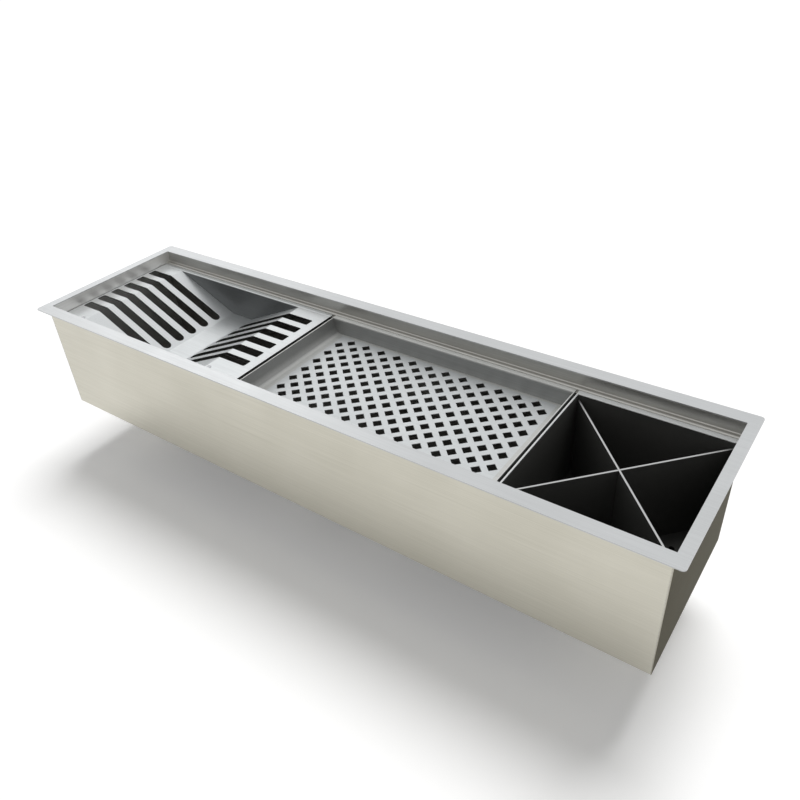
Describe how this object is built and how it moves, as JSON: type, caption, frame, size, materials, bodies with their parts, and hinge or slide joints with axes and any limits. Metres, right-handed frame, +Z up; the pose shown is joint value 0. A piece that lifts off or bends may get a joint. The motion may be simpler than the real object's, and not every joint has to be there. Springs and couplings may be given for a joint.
{
  "type": "recessed wet trough",
  "caption": "Long narrow steel sink channel for a worktop, with a lift-out slotted plate rack, perforated glass tray and divided cutlery box.",
  "frame": {"origin": "centre of the rim's length and depth, in the plane of the rim's underside, where the worktop's top face is", "axes": "+X along the trough to the cutlery box, +Y to the rear, +Z up"},
  "size_m": [0.86, 0.232, 0.228],
  "materials": {
    "steel_body": "brushed stainless steel",
    "steel_inserts": "satin stainless steel",
    "black_coating": "black powder coat",
    "black_rubber": "matt",
    "grey_plastic": "moulded",
    "brass_thread": "turned"
  },
  "bodies": {
    "trough": {"rim_frame": "steel_body", "trough_wrap": "steel_body", "left_end": "steel_body", "right_end": "steel_body", "front_runner": "steel_body", "rear_runner": "steel_body", "sound_pads": "black_rubber", "waste_cup": "steel_inserts", "waste_top_seal": "black_rubber", "waste_gasket": "black_rubber", "waste_body": "grey_plastic", "waste_screw": "steel_inserts", "waste_insert": "brass_thread"},
    "plate_rack": {"rack_sheet": "steel_inserts", "rack_front_cheek": "steel_inserts", "rack_rear_cheek": "steel_inserts", "rack_rivets": "steel_body"},
    "glass_tray": {"tray_frame": "steel_inserts", "tray_floor": "steel_inserts"},
    "cutlery_box": {"box_rim": "steel_inserts", "box_walls": "black_coating", "box_floor": "black_coating"},
    "cutlery_divider": {"divider_left": "black_coating", "divider_right": "black_coating"},
    "strainer_basket": {"basket_cup": "steel_inserts", "basket_plug": "black_rubber", "basket_stem": "steel_inserts", "basket_knob": "grey_plastic"}
  },
  "joints": [
    {"name": "rack_lift", "type": "slide", "parent": "trough", "child": "plate_rack", "axis": [0, 0, 1], "range_m": [0, 0.08]},
    {"name": "tray_lift", "type": "slide", "parent": "trough", "child": "glass_tray", "axis": [0, 0, 1], "range_m": [0, 0.06]},
    {"name": "box_lift", "type": "slide", "parent": "trough", "child": "cutlery_box", "axis": [0, 0, 1], "range_m": [0, 0.14]},
    {"name": "divider_lift", "type": "slide", "parent": "cutlery_box", "child": "cutlery_divider", "axis": [0, 0, 1], "range_m": [0, 0.12]},
    {"name": "basket_lift", "type": "slide", "parent": "trough", "child": "strainer_basket", "axis": [0, 0, 1], "range_m": [0, 0.06]}
  ]
}
